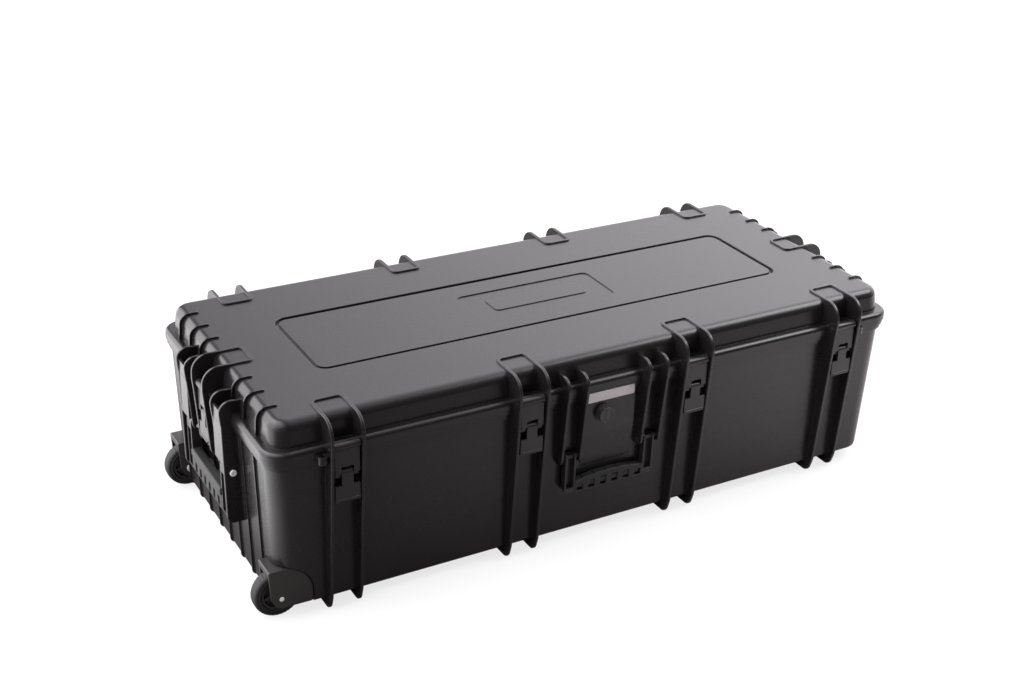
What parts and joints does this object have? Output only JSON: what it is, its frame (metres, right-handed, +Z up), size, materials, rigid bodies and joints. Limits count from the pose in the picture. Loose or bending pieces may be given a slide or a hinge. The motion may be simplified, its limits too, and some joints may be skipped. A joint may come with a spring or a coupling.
{
  "type": "wheeled hard transport case",
  "caption": "Long moulded hard case with a hinged lid, draw latches, folding handles, a purge valve, corner wheels and foam inside.",
  "frame": {"origin": "on the floor, under the middle of the overall bounding box", "axes": "+X along the case, away from the wheels; the latched front faces -Y; +Z up"},
  "size_m": [1.0548, 0.4778, 0.2958],
  "materials": {
    "shell_plastic": "fine moulded texture, satin",
    "latch_plastic": "fine moulded texture, satin",
    "handle_plastic": "fine moulded texture, satin",
    "grip_rubber": "soft, ribbed",
    "tyre_rubber": "matt rubber",
    "hub_plastic": "moulded, satin",
    "bracket_plastic": "moulded, fine grain",
    "seal_rubber": "matt, soft",
    "foam": "open-cell foam",
    "plate_metal": "brushed, satin",
    "badge_plastic": "smooth, satin",
    "valve_plastic": "moulded, satin",
    "pin_steel": "bright steel"
  },
  "bodies": {
    "base": {"base_shell": "shell_plastic", "hinge_pins": "pin_steel", "front_handle_pins": "pin_steel", "end_handle_screws": "pin_steel", "bracket_screws": "pin_steel", "purge_valve_body": "valve_plastic", "purge_valve_seal": "seal_rubber", "purge_valve_nut": "valve_plastic", "front_name_plate": "plate_metal", "foam_floor": "foam", "foam_liner": "foam", "wheel_bracket_front": "bracket_plastic", "wheel_bracket_back": "bracket_plastic", "wheel_axle_front": "pin_steel", "wheel_axle_back": "pin_steel"},
    "lid": {"lid_shell": "shell_plastic", "lid_gasket": "seal_rubber", "lid_badge": "badge_plastic", "foam_lid": "foam", "latch_hinge_pins": "pin_steel"},
    "front_handle": {"front_handle_frame": "handle_plastic", "front_handle_grip": "grip_rubber"},
    "left_handle": {"left_handle_frame": "handle_plastic", "left_handle_grip": "grip_rubber"},
    "right_handle": {"right_handle_frame": "handle_plastic", "right_handle_grip": "grip_rubber"},
    "wheel_front": {"wheel_tyre_front": "tyre_rubber", "wheel_hub_front": "hub_plastic"},
    "wheel_back": {"wheel_tyre_back": "tyre_rubber", "wheel_hub_back": "hub_plastic"},
    "purge_knob": {"purge_valve_knob": "valve_plastic"},
    "latch_plate_front_1": {"latch_plate_front_1": "latch_plastic", "latch_lever_pin_front_1": "pin_steel"},
    "latch_lever_front_1": {"latch_lever_front_1": "latch_plastic"},
    "latch_plate_front_2": {"latch_plate_front_2": "latch_plastic", "latch_lever_pin_front_2": "pin_steel"},
    "latch_lever_front_2": {"latch_lever_front_2": "latch_plastic"},
    "latch_plate_front_3": {"latch_plate_front_3": "latch_plastic", "latch_lever_pin_front_3": "pin_steel"},
    "latch_lever_front_3": {"latch_lever_front_3": "latch_plastic"},
    "latch_plate_front_4": {"latch_plate_front_4": "latch_plastic", "latch_lever_pin_front_4": "pin_steel"},
    "latch_lever_front_4": {"latch_lever_front_4": "latch_plastic"},
    "latch_plate_left": {"latch_plate_left": "latch_plastic", "latch_lever_pin_left": "pin_steel"},
    "latch_lever_left": {"latch_lever_left": "latch_plastic"},
    "latch_plate_right": {"latch_plate_right": "latch_plastic", "latch_lever_pin_right": "pin_steel"},
    "latch_lever_right": {"latch_lever_right": "latch_plastic"}
  },
  "joints": [
    {"name": "lid_hinge", "type": "hinge", "parent": "base", "child": "lid", "pos_m": [0.00056, 0.23294, 0.24325], "axis": [-1, 0, 0], "range_deg": [0, 100]},
    {"name": "latch_plate_front_1_swing", "type": "hinge", "parent": "lid", "child": "latch_plate_front_1", "pos_m": [-0.40604, -0.22956, 0.257], "axis": [-1, 0, 0], "range_deg": [0, 110]},
    {"name": "latch_lever_front_1_pull", "type": "hinge", "parent": "latch_plate_front_1", "child": "latch_lever_front_1", "pos_m": [-0.40604, -0.22756, 0.217], "axis": [-1, 0, 0], "range_deg": [0, 75]},
    {"name": "latch_plate_front_2_swing", "type": "hinge", "parent": "lid", "child": "latch_plate_front_2", "pos_m": [-0.13454, -0.22956, 0.257], "axis": [-1, 0, 0], "range_deg": [0, 110]},
    {"name": "latch_lever_front_2_pull", "type": "hinge", "parent": "latch_plate_front_2", "child": "latch_lever_front_2", "pos_m": [-0.13454, -0.22756, 0.217], "axis": [-1, 0, 0], "range_deg": [0, 75]},
    {"name": "latch_plate_front_3_swing", "type": "hinge", "parent": "lid", "child": "latch_plate_front_3", "pos_m": [0.13566, -0.22956, 0.257], "axis": [-1, 0, 0], "range_deg": [0, 110]},
    {"name": "latch_lever_front_3_pull", "type": "hinge", "parent": "latch_plate_front_3", "child": "latch_lever_front_3", "pos_m": [0.13566, -0.22756, 0.217], "axis": [-1, 0, 0], "range_deg": [0, 75]},
    {"name": "latch_plate_front_4_swing", "type": "hinge", "parent": "lid", "child": "latch_plate_front_4", "pos_m": [0.40716, -0.22956, 0.257], "axis": [-1, 0, 0], "range_deg": [0, 110]},
    {"name": "latch_lever_front_4_pull", "type": "hinge", "parent": "latch_plate_front_4", "child": "latch_lever_front_4", "pos_m": [0.40716, -0.22756, 0.217], "axis": [-1, 0, 0], "range_deg": [0, 75]},
    {"name": "latch_plate_left_swing", "type": "hinge", "parent": "lid", "child": "latch_plate_left", "pos_m": [-0.51694, -0.00106, 0.257], "axis": [0, 1, 0], "range_deg": [0, 110]},
    {"name": "latch_lever_left_pull", "type": "hinge", "parent": "latch_plate_left", "child": "latch_lever_left", "pos_m": [-0.51494, -0.00106, 0.217], "axis": [0, 1, 0], "range_deg": [0, 75]},
    {"name": "latch_plate_right_swing", "type": "hinge", "parent": "lid", "child": "latch_plate_right", "pos_m": [0.51806, -0.00106, 0.257], "axis": [0, -1, 0], "range_deg": [0, 110]},
    {"name": "latch_lever_right_pull", "type": "hinge", "parent": "latch_plate_right", "child": "latch_lever_right", "pos_m": [0.51606, -0.00106, 0.217], "axis": [0, -1, 0], "range_deg": [0, 75]},
    {"name": "front_handle_swing", "type": "hinge", "parent": "base", "child": "front_handle", "pos_m": [0.00056, -0.21956, 0.146], "axis": [-1, 0, 0], "range_deg": [0, 95]},
    {"name": "left_handle_swing", "type": "hinge", "parent": "base", "child": "left_handle", "pos_m": [-0.51144, -0.00106, 0.1695], "axis": [0, 1, 0], "range_deg": [0, 90]},
    {"name": "right_handle_swing", "type": "hinge", "parent": "base", "child": "right_handle", "pos_m": [0.51256, -0.00106, 0.1695], "axis": [0, -1, 0], "range_deg": [0, 90]},
    {"name": "wheel_front_spin", "type": "hinge", "parent": "base", "child": "wheel_front", "pos_m": [-0.49344, -0.18706, 0.034], "axis": [0, 1, 0], "continuous": true},
    {"name": "wheel_back_spin", "type": "hinge", "parent": "base", "child": "wheel_back", "pos_m": [-0.49344, 0.18494, 0.034], "axis": [0, 1, 0], "continuous": true},
    {"name": "purge_knob_turn", "type": "hinge", "parent": "base", "child": "purge_knob", "pos_m": [-0.01244, -0.22226, 0.2042], "axis": [0, -1, 0], "range_deg": [0, 180]}
  ]
}
